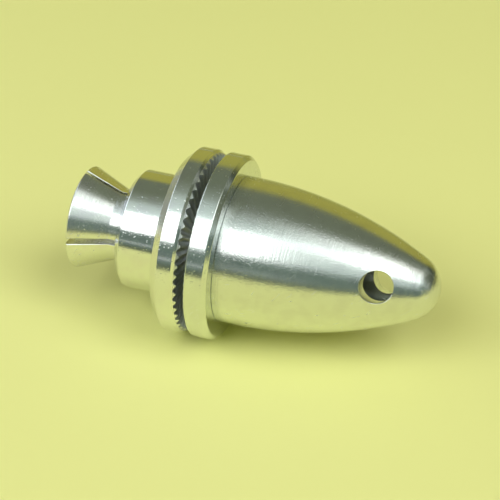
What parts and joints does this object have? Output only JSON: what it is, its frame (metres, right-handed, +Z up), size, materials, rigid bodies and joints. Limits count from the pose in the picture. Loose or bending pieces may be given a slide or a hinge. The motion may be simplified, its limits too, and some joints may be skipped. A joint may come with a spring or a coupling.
{
  "type": "collet propeller adapter",
  "caption": "Aluminium propeller adapter: split collet on a threaded stud, serrated drive hub, thick washer and bullet-shaped spinner nut with a tommy-bar hole.",
  "frame": {"origin": "centre of the collet's rear face, at the mouth of the motor-shaft bore", "axes": "+X along the shaft axis towards the nose (the way the propeller pulls), +Z up, +Y to the left seen from behind"},
  "size_m": [0.0316, 0.016, 0.016],
  "materials": {
    "turned_aluminium": "fine turned, bright, with faint turning rings",
    "polished_aluminium": "polished turned faces, bright, with faint turning rings",
    "brushed_aluminium": "satin polish with fine rings and small handling scratches"
  },
  "bodies": {
    "shaft": {"collet_shaft": "turned_aluminium"},
    "hub": {"drive_hub": "polished_aluminium"},
    "washer": {"prop_washer": "polished_aluminium"},
    "nut": {"spinner_nut": "brushed_aluminium"}
  },
  "joints": [
    {"name": "hub_slide", "type": "slide", "parent": "shaft", "child": "hub", "axis": [1, 0, 0], "range_m": [-0.0034, 0]},
    {"name": "washer_slide", "type": "slide", "parent": "shaft", "child": "washer", "axis": [1, 0, 0], "range_m": [-0.00066, 0.006]},
    {"name": "nut_turn", "type": "hinge", "parent": "washer", "child": "nut", "pos_m": [0.01376, 0, 0], "axis": [1, 0, 0], "range_deg": [-240, 2161]}
  ],
  "couplings": [
    {"joint": "nut_turn", "follows": "washer_slide", "rad_per_m": 6283.2}
  ]
}
